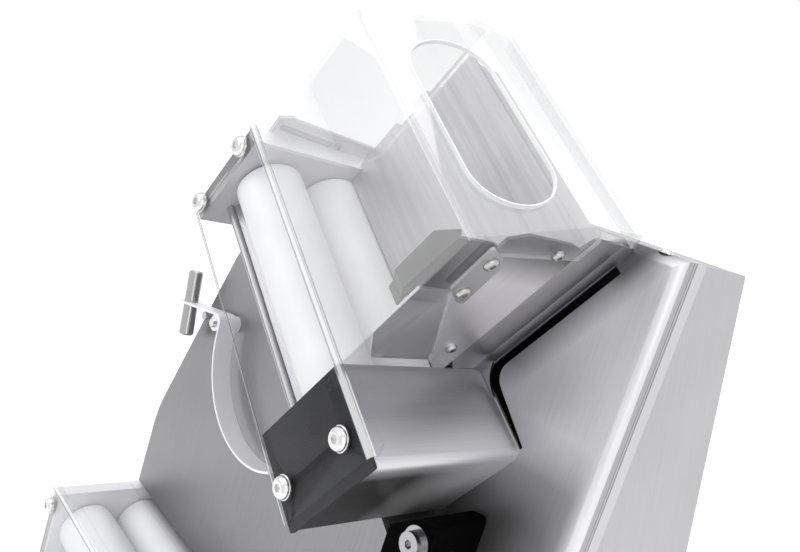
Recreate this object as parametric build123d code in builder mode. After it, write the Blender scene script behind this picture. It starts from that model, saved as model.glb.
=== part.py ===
"""Two-stage pizza dough roller.

A stainless body with a leaning front panel carries two roller heads. The upper head is short and
turned in the panel's plane, the lower one is long and level. Dough goes in through the clear hopper,
slides down the chute onto the swinging balance pan, and leaves under the lower head.

Each head has its own frame: x along the rollers towards the gear casing, y up across the rollers and
z out of the machine. Sizes along those axes are called along, up and depth (depth is minus z).
"""
import os
from math import cos, pi, radians, sin
from typing import NamedTuple

from build123d import *

os.makedirs("parts", exist_ok=True)

# Machine: the front panel leans back, and the upper head is turned in the panel's plane
LEAN = 21.5
TILT = 34.5
CORNER = (180.1, -74.0, 440.0)  # front corner of the upper gear casing, where both frames start
FOOT_H, FOOT_R = 18.0, 20.0
BASE_TOP = 58.0
BACK_Y = CORNER[1] + 271.0
BASE_FRONT_Y = CORNER[1] - 139.0
RAIL_W = 40.0

# Body, in the panel's x and up
BODY_RIGHT, BODY_LEFT = 61.6, -410.0
BODY_TOP, TOP_LEFT = 163.0, -235.0
SLOPE_TOP, SLOPE_BOTTOM = (-335.0, 40.0), (BODY_LEFT, -165.0)
PANEL_B = 140.0
SEAM_B, SEAM = 152.0, 0.5
SHEET = 2.0
BEND = 7.0

# Roller heads
CASE_L = 70.0
HEAD_TOP, HEAD_BOTTOM = -1.0, -93.0
HEAD_MIDDLE = (HEAD_TOP + HEAD_BOTTOM) / 2
PLATE_T, FAR_T = 10.0, 15.0
ROLLER_R, SHAFT_R = 26.5, 10.0
FRONT_B, REAR_B, ROLLER_UP = 37.5, 95.5, -41.0
GAP_STROKE = 3.5
BUSH_W = 34.0
RUNNING = 0.05
SLIDING = 0.1
UPPER_SPAN, LOWER_SPAN = 193.0, 315.0
LOWER_X, LOWER_UP = -15.0, -253.0

# Gears: slim teeth stay in mesh while the roller gap changes
GEAR_TEETH, GEAR_TIP, GEAR_ROOT, GEAR_W, GEAR_ALONG = 16, 31.0, 23.0, 10.0, -58.0
BEVEL_TEETH, BEVEL_TIP, BEVEL_ROOT = 12, 1.12, 0.86
BEVEL_FAR, BEVEL_NEAR = 16.0, 9.0
BEVEL_HUB_R, BEVEL_HUB_L = 12.0, 7.0
TOOTH_TIP, TOOTH_ROOT = 0.18, 0.50  # tooth widths as shares of the pitch
APEX_ALONG = -24.0
DRIVE_R = 8.0
PULLEY_R, PULLEY_B, PULLEY_W, RIM_H, RIM_T = 30.0, 160.0, 14.0, 4.5, 2.0
BELT_T, BELT_W, BELT_CLEAR = 3.0, 10.0, 0.3
MOTOR_AT, MOTOR_B = (-215.0, -215.0), 182.0

# Clear guards, hopper and fasteners
CLEAR_T, FLANGE_B = 3.0, 15.0
COVER_T = 2.5
BOLT_R, BOLT_HEAD_R, BOLT_HEAD_H, WASHER_R, WASHER_T = 3.0, 7.8, 4.4, 8.4, 1.0
BOLT_ALONG, BOLT_OUT, BOLT_UPS = -27.0, 8.0, (-16.5, -82.0)
SCREW_H, COVER_SCREW_R = 2.6, 4.5
DOME, SOCKET = 0.8, 0.4  # rounding of a head as a share of its height, and hexagon as a share of its radius
HOPPER_FAR, HOPPER_NEAR = -256.0, -66.0
HOPPER_LOW, HOPPER_EAVE, HOPPER_RIDGE = 4.0, (0.0, 128.0), (83.0, 158.0)
MOUTH_L, MOUTH_W, MOUTH_ALONG, MOUTH_B = 143.0, 59.0, -157.5, 46.0
BACK_WALL_B = 105.0
CHEEK_ALONG = HOPPER_NEAR - CLEAR_T - SHEET

# Chute and balance, in the panel's x and up: one bent strip is the pan, wraps the pivot and is the arm
CHUTE_B, CHUTE_BOTTOM, CHUTE_RIGHT = 88.0, -250.0, -50.0
CHUTE_PEAK, CHUTE_CREST, CHUTE_RIM = (-300.0, 72.0), (-280.0, 72.0), ((-60.0, -79.0), (CHUTE_RIGHT, -86.0))
CHUTE_LOW_R, CHUTE_HIGH_R, CHUTE_CREST_R = 120.0, 60.0, 15.0
PIVOT, PIVOT_R, HUB_R = (-307.0, -28.0), 3.0, 7.0
PAN_T, PAN_R, PAN_END = 2.0, 86.0, 300.0
PAN_FRONT_B, PAN_BACK_B = 64.0, 82.0
ARM_L, ARM_SLOPE = 84.0, 10.5
WEIGHT_R, WEIGHT_L, WEIGHT_ALONG = 7.0, 64.0, 66.0
WEIGHT_STUD_R = 3.0

# Controls
BUTTON_X, START_UP, STOP_UP, BUTTON_R = 22.0, -262.0, -302.0, 11.0
GLAND_X, GLAND_Z, GLAND_R = CORNER[0] - 10.0, 100.0, 10.0

PANEL_UP = Vector(0, sin(radians(LEAN)), cos(radians(LEAN)))
PANEL_OUT = Vector(0, -cos(radians(LEAN)), sin(radians(LEAN)))
TILT_COS, TILT_SIN = cos(radians(TILT)), sin(radians(TILT))
PANEL = Plane(CORNER, x_dir=(1, 0, 0), z_dir=PANEL_OUT)
UPPER = Plane(CORNER, x_dir=Vector(TILT_COS, 0, 0) - PANEL_UP * TILT_SIN, z_dir=PANEL_OUT)
LOWER = Plane(PANEL.from_local_coords((LOWER_X, LOWER_UP, 0)), x_dir=(1, 0, 0), z_dir=PANEL_OUT)
OUTWARDS = Axis((0, 0, 0), PANEL_OUT)


class Head(NamedTuple):
    name: str
    frame: Plane
    far: float  # inner face of the far bearing plate, along the rollers
    turn: float

    @property
    def outer(self):
        """Outer face of the far bearing plate."""
        return self.far - FAR_T


HEADS = (
    Head("upper", UPPER, -CASE_L - UPPER_SPAN, TILT),
    Head("lower", LOWER, -CASE_L - LOWER_SPAN, 0.0),
)


def facing(frame, depth):
    """Sketch plane parallel to the panel: x along, y up, extruding towards the front."""
    return frame.offset(-depth)


def across(frame, along):
    """Sketch plane square to the rollers: x is depth, y is up, extruding towards the casing."""
    return Plane(frame.from_local_coords((along, 0, 0)), x_dir=-frame.z_dir, z_dir=frame.x_dir)


def level(frame, up):
    """Sketch plane square to the up direction: x along, y is depth, extruding upwards."""
    return Plane(frame.from_local_coords((0, up, 0)), x_dir=frame.x_dir, z_dir=frame.y_dir)


def save(piece, label):
    """Name a finished piece and write it."""
    piece.part.label = label
    export_step(piece.part, f"parts/{label}.step")


def drive_centre(head):
    """Where a head's drive shaft passes the panel, in the panel's x and up."""
    spot = PANEL.to_local_coords(head.frame.from_local_coords((APEX_ALONG, ROLLER_UP, 0)))
    return (spot.X, spot.Y)


def bolt_spots(head):
    """Guard bolts of a head: two in the casing cover, then two in the far plate."""
    return [(along, up) for along in (BOLT_ALONG, head.far - BOLT_OUT) for up in BOLT_UPS]


def gear_points(teeth, tip, root, phase):
    """Outline of a straight-sided gear; phase turns it by a share of one pitch."""
    pitch = 2 * pi / teeth
    corners = ((root, -TOOTH_ROOT), (tip, -TOOTH_TIP), (tip, TOOTH_TIP), (root, TOOTH_ROOT))
    points = []
    for tooth in range(teeth):
        for radius, share in corners:
            angle = (tooth + phase + share / 2) * pitch
            points.append((radius * cos(angle), radius * sin(angle)))
    return points


def bevel_gear(apex_plane, centre, phase):
    """Mitre gear behind its apex plane: two similar outlines joined by straight flanks."""
    with BuildPart() as gear:
        for reach in (BEVEL_FAR, BEVEL_NEAR):
            outline = gear_points(BEVEL_TEETH, BEVEL_TIP * reach, BEVEL_ROOT * reach, phase)
            with BuildSketch(apex_plane.offset(-reach)):
                with Locations(centre):
                    Polygon(*outline, align=None)
        loft(ruled=True)
    return gear.part


def button_heads(plane, spots, radius, height):
    """Round-topped heads standing on a plane, each with a hexagon socket."""
    with BuildPart() as heads:
        with BuildSketch(plane):
            with Locations(*spots):
                Circle(radius)
        extrude(amount=height)
        tops = heads.faces().group_by(Axis(plane.origin, plane.z_dir))[-1]
        fillet(tops.edges(), DOME * height)
        with BuildSketch(plane.offset(height)):
            with Locations(*spots):
                RegularPolygon(SOCKET * radius, 6)
        extrude(amount=-height / 2, mode=Mode.SUBTRACT)
    return heads.part


def body_block(front, inset, radius, back_y, floor_z):
    """Body outline pushed back from a depth, front edges rounded, trimmed at the back and floor."""
    past_base, past_back = -600.0, 500.0
    with BuildPart() as block:
        with BuildSketch(facing(PANEL, front)):
            with BuildLine():
                Polyline(
                    (BODY_RIGHT, past_base),
                    (BODY_RIGHT, BODY_TOP),
                    (TOP_LEFT, BODY_TOP),
                    SLOPE_TOP,
                    SLOPE_BOTTOM,
                    (BODY_LEFT, past_base),
                    close=True,
                )
            make_face()
            if inset:
                offset(amount=-inset, kind=Kind.INTERSECTION, mode=Mode.REPLACE)
        extrude(amount=-past_back)
        if radius:
            fillet(block.faces().sort_by(OUTWARDS)[-1].edges(), radius)
        split(bisect_by=Plane((0, back_y, 0), z_dir=(0, -1, 0)), keep=Keep.TOP)
        split(bisect_by=Plane((0, 0, floor_z), z_dir=(0, 0, 1)), keep=Keep.TOP)
    return block.part


def chute_block(front, inset):
    """Chute outline pushed back from a depth to the panel."""
    with BuildPart() as block:
        with BuildSketch(facing(PANEL, front)) as outline:
            with BuildLine():
                Polyline(
                    (BODY_LEFT, CHUTE_BOTTOM),
                    SLOPE_BOTTOM,
                    SLOPE_TOP,
                    CHUTE_PEAK,
                    CHUTE_CREST,
                    *CHUTE_RIM,
                    (CHUTE_RIGHT, CHUTE_BOTTOM),
                    close=True,
                )
            make_face()
            fillet(outline.vertices().sort_by_distance(SLOPE_BOTTOM)[0], CHUTE_LOW_R)
            fillet(outline.vertices().sort_by_distance(SLOPE_TOP)[0], CHUTE_HIGH_R)
            fillet(outline.vertices().sort_by_distance(CHUTE_CREST)[0], CHUTE_CREST_R)
            if inset:
                offset(amount=-inset, kind=Kind.INTERSECTION, mode=Mode.REPLACE)
        extrude(amount=front - PANEL_B)
    return block.part


# Base and feet

base_left, base_right = CORNER[0] + BODY_LEFT, CORNER[0] + BODY_RIGHT
base_l, base_w = BACK_Y - BASE_FRONT_Y, base_right - base_left
base_middle = ((base_left + base_right) / 2, (BASE_FRONT_Y + BACK_Y) / 2)
floor_t = 4.0
with BuildPart() as base_frame:
    for rail_left in (base_left, base_right - RAIL_W):
        with BuildSketch(Plane((rail_left, 0, 0), x_dir=(0, 1, 0), z_dir=(1, 0, 0))) as rail:
            with Locations((base_middle[1], (FOOT_H + BASE_TOP) / 2)):
                Rectangle(base_l, BASE_TOP - FOOT_H)
            fillet(rail.vertices().group_by(Axis.X)[0], 12.0)
        extrude(amount=RAIL_W)
    with BuildSketch(Plane.XY.offset(BASE_TOP)):
        with Locations((base_middle[0], (CORNER[1] + BACK_Y) / 2)):
            Rectangle(base_w, BACK_Y - CORNER[1])
    extrude(amount=-floor_t)
save(base_frame, "base_frame")

foot_in = 32.0
with BuildPart() as rubber_feet:
    with BuildSketch(Plane.XY):
        with Locations(base_middle):
            with GridLocations(base_w - RAIL_W, base_l - 2 * foot_in, 2, 2):
                Circle(FOOT_R)
    extrude(amount=FOOT_H)
    chamfer(rubber_feet.edges().group_by(Axis.Z)[0], 2.5)
save(rubber_feet, "rubber_feet")

# Shells of the body

below_base = BASE_TOP - 10.0
panel_hollow = body_block(PANEL_B + SHEET, SHEET, BEND - SHEET, BACK_Y, below_base)
panel_solid = body_block(PANEL_B, 0.0, BEND, BACK_Y, BASE_TOP)
# The panel is open along the cheek and over the upper casing, narrowing towards the casing's end
gap_far, gap_wide, gap_near = -67.2, -61.0, -4.0
gap_high, gap_step, gap_end, gap_low = 130.0, 9.2, 2.7, 0.0
with BuildPart() as front_shell:
    add(panel_solid)
    add(panel_hollow, mode=Mode.SUBTRACT)
    split(bisect_by=facing(PANEL, SEAM_B), keep=Keep.TOP)
    with BuildSketch(facing(PANEL, PANEL_B + SHEET)):
        with Locations(*[drive_centre(head) for head in HEADS]):
            Circle(DRIVE_R + 4.0)
        with Locations((BUTTON_X, START_UP), (BUTTON_X, STOP_UP)):
            Circle(BUTTON_R + 1.0)
    extrude(amount=SHEET, mode=Mode.SUBTRACT)
    with BuildSketch(facing(UPPER, PANEL_B + SHEET)) as gap:
        with BuildLine():
            Polyline(
                (gap_far, gap_high),
                (gap_wide, gap_high),
                (gap_wide, gap_step),
                (gap_near, gap_end),
                (gap_near, gap_low),
                (gap_far, gap_low),
                close=True,
            )
        make_face()
        fillet(gap.vertices().sort_by_distance((gap_wide, gap_step))[0], 14.0)
    extrude(amount=SHEET, mode=Mode.SUBTRACT)
save(front_shell, "front_shell")

cover_b = SEAM_B + SEAM
cover_hollow = body_block(cover_b - 1.0, SHEET, 0.0, BACK_Y - SHEET, below_base)
cover_solid = body_block(cover_b, 0.0, 0.0, BACK_Y, BASE_TOP)
vent_l, vent_h, vent_pitch, vent_z = 60.0, 5.0, 14.0, 190.0
with BuildPart() as rear_cover:
    add(cover_solid)
    add(cover_hollow, mode=Mode.SUBTRACT)
    with BuildSketch(Plane((0, BACK_Y, 0), x_dir=(1, 0, 0), z_dir=(0, -1, 0))):
        with Locations((base_middle[0], vent_z)):
            with GridLocations(90.0, vent_pitch, 2, 7):
                SlotOverall(vent_l, vent_h)
        with Locations((GLAND_X, GLAND_Z)):
            Circle(GLAND_R + 0.3)
    extrude(amount=SHEET, mode=Mode.SUBTRACT)
save(rear_cover, "rear_cover")

gland_in, nut_more, nut_t, nose_l, cord_r = 8.0, 4.0, 6.0, 10.0, 4.0
gland_plane = Plane((GLAND_X, BACK_Y, GLAND_Z), x_dir=(1, 0, 0), z_dir=(0, 1, 0))
with BuildPart() as cable_gland:
    with BuildSketch(gland_plane.offset(-gland_in)):
        Circle(GLAND_R)
    extrude(amount=gland_in)
    with BuildSketch(gland_plane):
        RegularPolygon(GLAND_R + nut_more, 6)
    extrude(amount=nut_t)
    with BuildSketch(gland_plane.offset(nut_t)):
        Circle(GLAND_R - 0.5)
    extrude(amount=nose_l, taper=12.0)
    with BuildSketch(gland_plane.offset(nut_t + nose_l)):
        Circle(cord_r)
    extrude(amount=-gland_in - nut_t - nose_l, mode=Mode.SUBTRACT)
save(cable_gland, "cable_gland")

top_screws = [(along, SEAM_B - 5.0) for along in (44.0, -90.0, -222.0)]
screw_in, slope_screw_in, screw_low, screw_middle, screw_high = 18.0, 55.0, BASE_TOP + 14.0, 250.0, 400.0
back_screws = (
    (base_left + screw_in, screw_low),
    (base_left + slope_screw_in, screw_middle),
    (base_right - screw_in, screw_low),
    (base_right - screw_in, screw_high),
)
top_heads = button_heads(level(PANEL, BODY_TOP), top_screws, COVER_SCREW_R, SCREW_H)
back_plane = Plane((0, BACK_Y, 0), x_dir=(-1, 0, 0), z_dir=(0, 1, 0))
back_heads = button_heads(back_plane, [(-x, z) for x, z in back_screws], COVER_SCREW_R, SCREW_H)
with BuildPart() as cover_screws:
    add(top_heads)
    add(back_heads)
save(cover_screws, "cover_screws")

tray_plane = Plane((base_left + RAIL_W, 0, 0), x_dir=(0, 1, 0), z_dir=(1, 0, 0))
with BuildPart() as exit_tray:
    with BuildSketch(tray_plane):
        with BuildLine():
            FilletPolyline(
                (CORNER[1] - SHEET, BASE_TOP - floor_t),
                (CORNER[1] - SHEET, BASE_TOP),
                (BASE_FRONT_Y + 10.0, FOOT_H + 16.0),
                (BASE_FRONT_Y + 6.0, FOOT_H + 4.0),
                radius=3.0,
            )
            offset(amount=SHEET, side=Side.RIGHT)
        make_face()
    extrude(amount=base_w - 2 * RAIL_W)
save(exit_tray, "exit_tray")

# Both roller heads

window_w, window_h = BUSH_W + GAP_STROKE + 2 * SLIDING, BUSH_W + 2 * SLIDING
guard_top, guard_bottom = HEAD_TOP + 0.2 + CLEAR_T, HEAD_BOTTOM - 0.2 - CLEAR_T
cover_back, cover_corner = CLEAR_T + COVER_T, 1.5
guard_near, lip_b, lip_cut, lip_end = -6.0, 7.0, 8.0, 12.0
for head in HEADS:
    frame, outer = head.frame, head.outer
    span = -CASE_L - head.far
    plates = (
        ("far_plate", outer, FAR_T, CLEAR_T, HEAD_TOP, HEAD_BOTTOM),
        ("near_plate", -CASE_L, PLATE_T, cover_back, HEAD_TOP - SHEET, HEAD_BOTTOM + SHEET),
    )
    for label, along, thick, front, top, bottom in plates:
        with BuildPart() as plate:
            with BuildSketch(across(frame, along)):
                with Locations(((front + PANEL_B) / 2, HEAD_MIDDLE)):
                    Rectangle(PANEL_B - front, top - bottom)
                with Locations((REAR_B, ROLLER_UP)):
                    Circle(BUSH_W / 2, mode=Mode.SUBTRACT)
                with Locations((FRONT_B + GAP_STROKE / 2, ROLLER_UP)):
                    Rectangle(window_w, window_h, mode=Mode.SUBTRACT)
            extrude(amount=thick)
        save(plate, f"{head.name}_{label}")

    with BuildPart() as gear_casing:
        with BuildSketch(facing(frame, cover_back)) as wrap:
            with Locations((-CASE_L / 2, HEAD_MIDDLE)):
                Rectangle(CASE_L, HEAD_TOP - HEAD_BOTTOM)
            fillet(wrap.vertices().group_by(Axis.X)[-1], BEND)
            with Locations((-CASE_L / 2 - SHEET - BEND, HEAD_MIDDLE)):
                RectangleRounded(
                    CASE_L + 2 * BEND, HEAD_TOP - HEAD_BOTTOM - 2 * SHEET, BEND - SHEET, mode=Mode.SUBTRACT
                )
        extrude(amount=cover_back - PANEL_B)
    save(gear_casing, f"{head.name}_gear_casing")

    with BuildPart() as casing_cover:
        with BuildSketch(facing(frame, CLEAR_T)) as plate_face:
            with Locations((-CASE_L / 2, HEAD_MIDDLE)):
                Rectangle(CASE_L, HEAD_TOP - HEAD_BOTTOM)
            fillet(plate_face.vertices().group_by(Axis.X)[-1], cover_corner)
            with Locations(*bolt_spots(head)[:2]):
                Circle(BOLT_R + 0.3, mode=Mode.SUBTRACT)
        extrude(amount=-COVER_T)
    save(casing_cover, f"{head.name}_casing_cover")

    with BuildPart() as front_guard:
        with BuildSketch(across(frame, outer)) as channel:
            with Locations((FLANGE_B / 2, (guard_top + guard_bottom) / 2)):
                Rectangle(FLANGE_B, guard_top - guard_bottom)
            fillet(channel.vertices().group_by(Axis.X)[0], 5.0)
            with Locations((CLEAR_T + FLANGE_B, (guard_top + guard_bottom) / 2)):
                Rectangle(2 * FLANGE_B, guard_top - guard_bottom - 2 * CLEAR_T, mode=Mode.SUBTRACT)
        extrude(amount=guard_near - outer)
        with BuildSketch(level(frame, guard_bottom)):
            with BuildLine():
                Polyline(
                    (guard_near, lip_b), (guard_near - lip_cut, FLANGE_B), (guard_near, FLANGE_B), close=True
                )
            make_face()
            with BuildLine():
                Polyline(
                    (outer, lip_b),
                    (head.far + lip_end, lip_b),
                    (head.far + lip_end + lip_cut, FLANGE_B),
                    (outer, FLANGE_B),
                    close=True,
                )
            make_face()
        extrude(amount=guard_top - guard_bottom, mode=Mode.SUBTRACT)
        with BuildSketch(facing(frame, CLEAR_T)):
            with Locations(*bolt_spots(head)):
                Circle(BOLT_R + 0.3)
        extrude(amount=CLEAR_T, mode=Mode.SUBTRACT)
    save(front_guard, f"{head.name}_front_guard")

    end_gap = 1.0
    for label, depth in (("front_roller", FRONT_B), ("rear_roller", REAR_B)):
        with BuildPart() as roller:
            with BuildSketch(across(frame, head.far + end_gap)):
                with Locations((depth, ROLLER_UP)):
                    Circle(ROLLER_R)
                    Circle(SHAFT_R, mode=Mode.SUBTRACT)
            extrude(amount=span - 2 * end_gap)
            rims = roller.edges().filter_by(GeomType.CIRCLE)
            chamfer(rims.group_by(SortBy.RADIUS)[-1], 1.5)
        save(roller, f"{head.name}_{label}")

    # The front gear stands half a pitch round, so that its gap faces the rear gear's tooth
    shaft_ends = (
        ("front_shaft", FRONT_B, GEAR_ALONG + GEAR_W + 2.0, 0.5),
        ("rear_shaft", REAR_B, APEX_ALONG - BEVEL_FAR, 0.0),
    )
    apex = across(frame, APEX_ALONG)
    rear_bevel = bevel_gear(apex, (REAR_B, ROLLER_UP), 0.0)
    for label, depth, end, phase in shaft_ends:
        with BuildPart() as shaft:
            with BuildSketch(across(frame, outer)):
                with Locations((depth, ROLLER_UP)):
                    Circle(SHAFT_R)
            extrude(amount=end - outer)
            with BuildSketch(across(frame, GEAR_ALONG)):
                with Locations((depth, ROLLER_UP)):
                    Polygon(*gear_points(GEAR_TEETH, GEAR_TIP, GEAR_ROOT, phase), align=None)
            extrude(amount=GEAR_W)
            if label == "rear_shaft":
                add(rear_bevel)
                with BuildSketch(apex.offset(-BEVEL_FAR)):
                    with Locations((depth, ROLLER_UP)):
                        Circle(BEVEL_HUB_R)
                extrude(amount=-BEVEL_HUB_L)
        save(shaft, f"{head.name}_{label}")

    with BuildPart() as front_bushes:
        for along, thick in ((outer, FAR_T), (-CASE_L, PLATE_T)):
            with BuildSketch(across(frame, along)):
                with Locations((FRONT_B, ROLLER_UP)):
                    Rectangle(BUSH_W, BUSH_W)
                    Circle(SHAFT_R + RUNNING, mode=Mode.SUBTRACT)
            extrude(amount=thick)
    save(front_bushes, f"{head.name}_front_bushes")

    # Scrapers: a rod between the plates, with a thin blade whose edge stands just off the roller
    rod_r, rod_b, rod_up, blade_t = 3.2, 20.7, -74.0, 2.4
    edge_r, edge_angle = ROLLER_R + 1.0, radians(-115.0)
    with BuildPart() as scrapers:
        for depth, rod_depth, way in ((FRONT_B, rod_b, 1.0), (REAR_B, FRONT_B + REAR_B - rod_b, -1.0)):
            edge = (depth + way * edge_r * cos(edge_angle), ROLLER_UP + edge_r * sin(edge_angle))
            with BuildSketch(across(frame, head.far)):
                with Locations((rod_depth, rod_up)):
                    Circle(rod_r)
                with BuildLine():
                    Polyline(
                        (rod_depth, rod_up),
                        edge,
                        (edge[0], edge[1] - blade_t),
                        (rod_depth, rod_up - blade_t),
                        close=True,
                    )
                make_face()
            extrude(amount=span)
    save(scrapers, f"{head.name}_scrapers")

    # Gap lever on the outer face of the far plate, between the two bushes
    lever_at, lever_l, lever_w, lever_t, lever_gap = (68.4, ROLLER_UP), 52.0, 12.0, 5.0, 0.4
    hub_r, grip_r, grip_l, stud_r = 11.0, 8.0, 9.0, 4.0
    grip_at = (lever_at[0] + lever_l, lever_at[1])
    with BuildPart() as gap_lever:
        with BuildSketch(across(frame, outer - lever_gap)):
            with Locations(lever_at):
                Circle(hub_r)
            with Locations((lever_at[0] + lever_l / 2, lever_at[1])):
                SlotOverall(lever_l + lever_w, lever_w)
            with Locations(lever_at):
                Circle(stud_r + RUNNING, mode=Mode.SUBTRACT)
        extrude(amount=-lever_t)
        with BuildSketch(across(frame, outer - lever_gap - lever_t)):
            with Locations(grip_at):
                Circle(grip_r)
        extrude(amount=-grip_l)
    save(gap_lever, f"{head.name}_gap_lever")

# Pieces of one kind that both heads share

with BuildPart() as rear_bushes:
    for head in HEADS:
        for along, thick in ((head.outer, FAR_T), (-CASE_L, PLATE_T)):
            with BuildSketch(across(head.frame, along)):
                with Locations((REAR_B, ROLLER_UP)):
                    Circle(BUSH_W / 2)
                    Circle(SHAFT_R + RUNNING, mode=Mode.SUBTRACT)
            extrude(amount=thick)
save(rear_bushes, "rear_bushes")

stud_l, stud_head_r, stud_head_h = 2 * lever_gap + lever_t, 7.0, 3.0
with BuildPart() as lever_pivots:
    for head in HEADS:
        for radius, start, length in (
            (stud_r, head.outer, stud_l),
            (stud_head_r, head.outer - stud_l, stud_head_h),
        ):
            with BuildSketch(across(head.frame, start)):
                with Locations(lever_at):
                    Circle(radius)
            extrude(amount=-length)
save(lever_pivots, "lever_pivots")

bolt_heads = [
    button_heads(facing(head.frame, -WASHER_T), bolt_spots(head), BOLT_HEAD_R, BOLT_HEAD_H)
    for head in HEADS
]
with BuildPart() as guard_bolts:
    for head, heads_part in zip(HEADS, bolt_heads):
        spots = bolt_spots(head)
        with BuildSketch(facing(head.frame, 0.0)):
            with Locations(*spots):
                Circle(WASHER_R)
        extrude(amount=WASHER_T)
        for some, shank_l in ((spots[:2], cover_back), (spots[2:], CLEAR_T)):
            with BuildSketch(facing(head.frame, 0.0)):
                with Locations(*some):
                    Circle(BOLT_R)
            extrude(amount=-shank_l)
        add(heads_part)
save(guard_bolts, "guard_bolts")

# Hopper of the upper head, with an oval mouth in its sloping top

# The near wall is cut away behind the tab, where the cheek stands in for it
near_wall = (
    (0.0, HOPPER_LOW),
    HOPPER_EAVE,
    HOPPER_RIDGE,
    (97.5, 147.0),
    (97.5, 128.0),
    (25.0, 118.0),
    (25.0, 85.0),
    (69.0, 19.0),
    (75.0, HOPPER_LOW),
)
far_back = BACK_WALL_B - 2.0
far_wall = (
    (0.0, HOPPER_LOW),
    HOPPER_EAVE,
    HOPPER_RIDGE,
    (far_back, HOPPER_RIDGE[1]),
    (far_back, 22.0),
    (84.0, HOPPER_LOW),
)
slope = (HOPPER_RIDGE[1] - HOPPER_EAVE[1]) / HOPPER_RIDGE[0]
mouth_at = UPPER.from_local_coords((MOUTH_ALONG, HOPPER_EAVE[1] + slope * MOUTH_B, -MOUTH_B))
mouth_plane = Plane(mouth_at, x_dir=UPPER.x_dir, z_dir=UPPER.y_dir + UPPER.z_dir * slope)
with BuildPart() as upper_hopper:
    with BuildSketch(across(UPPER, HOPPER_FAR)):
        with BuildLine():
            FilletPolyline((0, HOPPER_LOW), HOPPER_EAVE, HOPPER_RIDGE, (128, 160), (134, 149), radius=4.0)
            offset(amount=CLEAR_T, side=Side.RIGHT)
        make_face()
    extrude(amount=HOPPER_NEAR - HOPPER_FAR)
    for along, outline in ((HOPPER_FAR, far_wall), (HOPPER_NEAR - CLEAR_T, near_wall)):
        with BuildSketch(across(UPPER, along)) as wall:
            with BuildLine():
                Polyline(*outline, close=True)
            make_face()
            fillet(wall.vertices().sort_by_distance(HOPPER_EAVE)[0], 4.0)
            fillet(wall.vertices().sort_by_distance(HOPPER_RIDGE)[0], 4.0)
        extrude(amount=CLEAR_T)
    with BuildSketch(mouth_plane.offset(CLEAR_T)):
        SlotOverall(MOUTH_L, MOUTH_W)
    extrude(amount=-4 * CLEAR_T, mode=Mode.SUBTRACT)
save(upper_hopper, "upper_hopper")

# Sheet work round the hopper

wall_far, wall_near, wall_low, wall_high = -267.0, -72.7, -15.0, 135.0
wall_inner = HEADS[0].far + 1.0
wall_step = wall_far + 6.0
neck_far, neck_low, neck_high = wall_step + SHEET, 0.0, 130.0
# The guide keeps the dough off the cheek: a side plate with its front edge turned towards the cheek
guide_along, guide_flange, guide_b = -93.5, 13.5, 8.0
guide_foot, guide_low, guide_high = 28.0, 66.0, 103.0
guide_bend = [(guide_b, guide_low), (14.0, 58.0), (16.0, 50.0)]
with BuildPart() as upper_back_wall:
    with BuildSketch(facing(UPPER, BACK_WALL_B)):
        with BuildLine():
            Polyline(
                (wall_far, neck_low),
                (wall_inner, neck_low),
                (wall_inner, wall_low),
                (wall_near, wall_low),
                (wall_near, wall_high),
                (wall_step, wall_high),
                (wall_step, 90.0),
                (wall_far, 86.0),
                (wall_far, 72.0),
                (wall_step, 69.0),
                (wall_step, 53.0),
                (wall_far, 50.0),
                close=True,
            )
        make_face()
    extrude(amount=-SHEET)
    with BuildSketch(across(UPPER, guide_along)):
        with BuildLine():
            Polyline(
                (BACK_WALL_B, guide_high + SHEET),
                (guide_b, guide_high),
                *guide_bend,
                (BACK_WALL_B, guide_foot),
                close=True,
            )
        make_face()
    extrude(amount=SHEET)
    with BuildSketch(across(UPPER, guide_along)):
        with BuildLine():
            FilletPolyline((guide_b, guide_low + SHEET), *guide_bend, radius=1.5)
            offset(amount=SHEET, side=Side.LEFT)
        make_face()
    extrude(amount=guide_flange)
    with BuildSketch(facing(UPPER, guide_b + SHEET)):
        with BuildLine():
            Polyline(
                (guide_along, guide_low),
                (guide_along, guide_high),
                (-82.0, 118.5),
                (-78.0, 115.0),
                (guide_along + guide_flange, guide_low),
                close=True,
            )
        make_face()
    extrude(amount=SHEET)
save(upper_back_wall, "upper_back_wall")

neck_l, neck_h, neck_r = wall_near - neck_far, neck_high - neck_low, 6.0
neck_middle = ((neck_far + wall_near) / 2, (neck_low + neck_high) / 2)
with BuildPart() as upper_neck:
    with BuildSketch(facing(UPPER, PANEL_B)):
        with Locations(neck_middle):
            RectangleRounded(neck_l, neck_h, neck_r)
    extrude(amount=PANEL_B - BACK_WALL_B - SHEET)
    with BuildSketch(facing(UPPER, PANEL_B - SHEET)):
        with Locations(neck_middle):
            RectangleRounded(neck_l - 2 * SHEET, neck_h - 2 * SHEET, neck_r - SHEET)
    extrude(amount=PANEL_B - BACK_WALL_B, mode=Mode.SUBTRACT)
save(upper_neck, "upper_neck")

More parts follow.
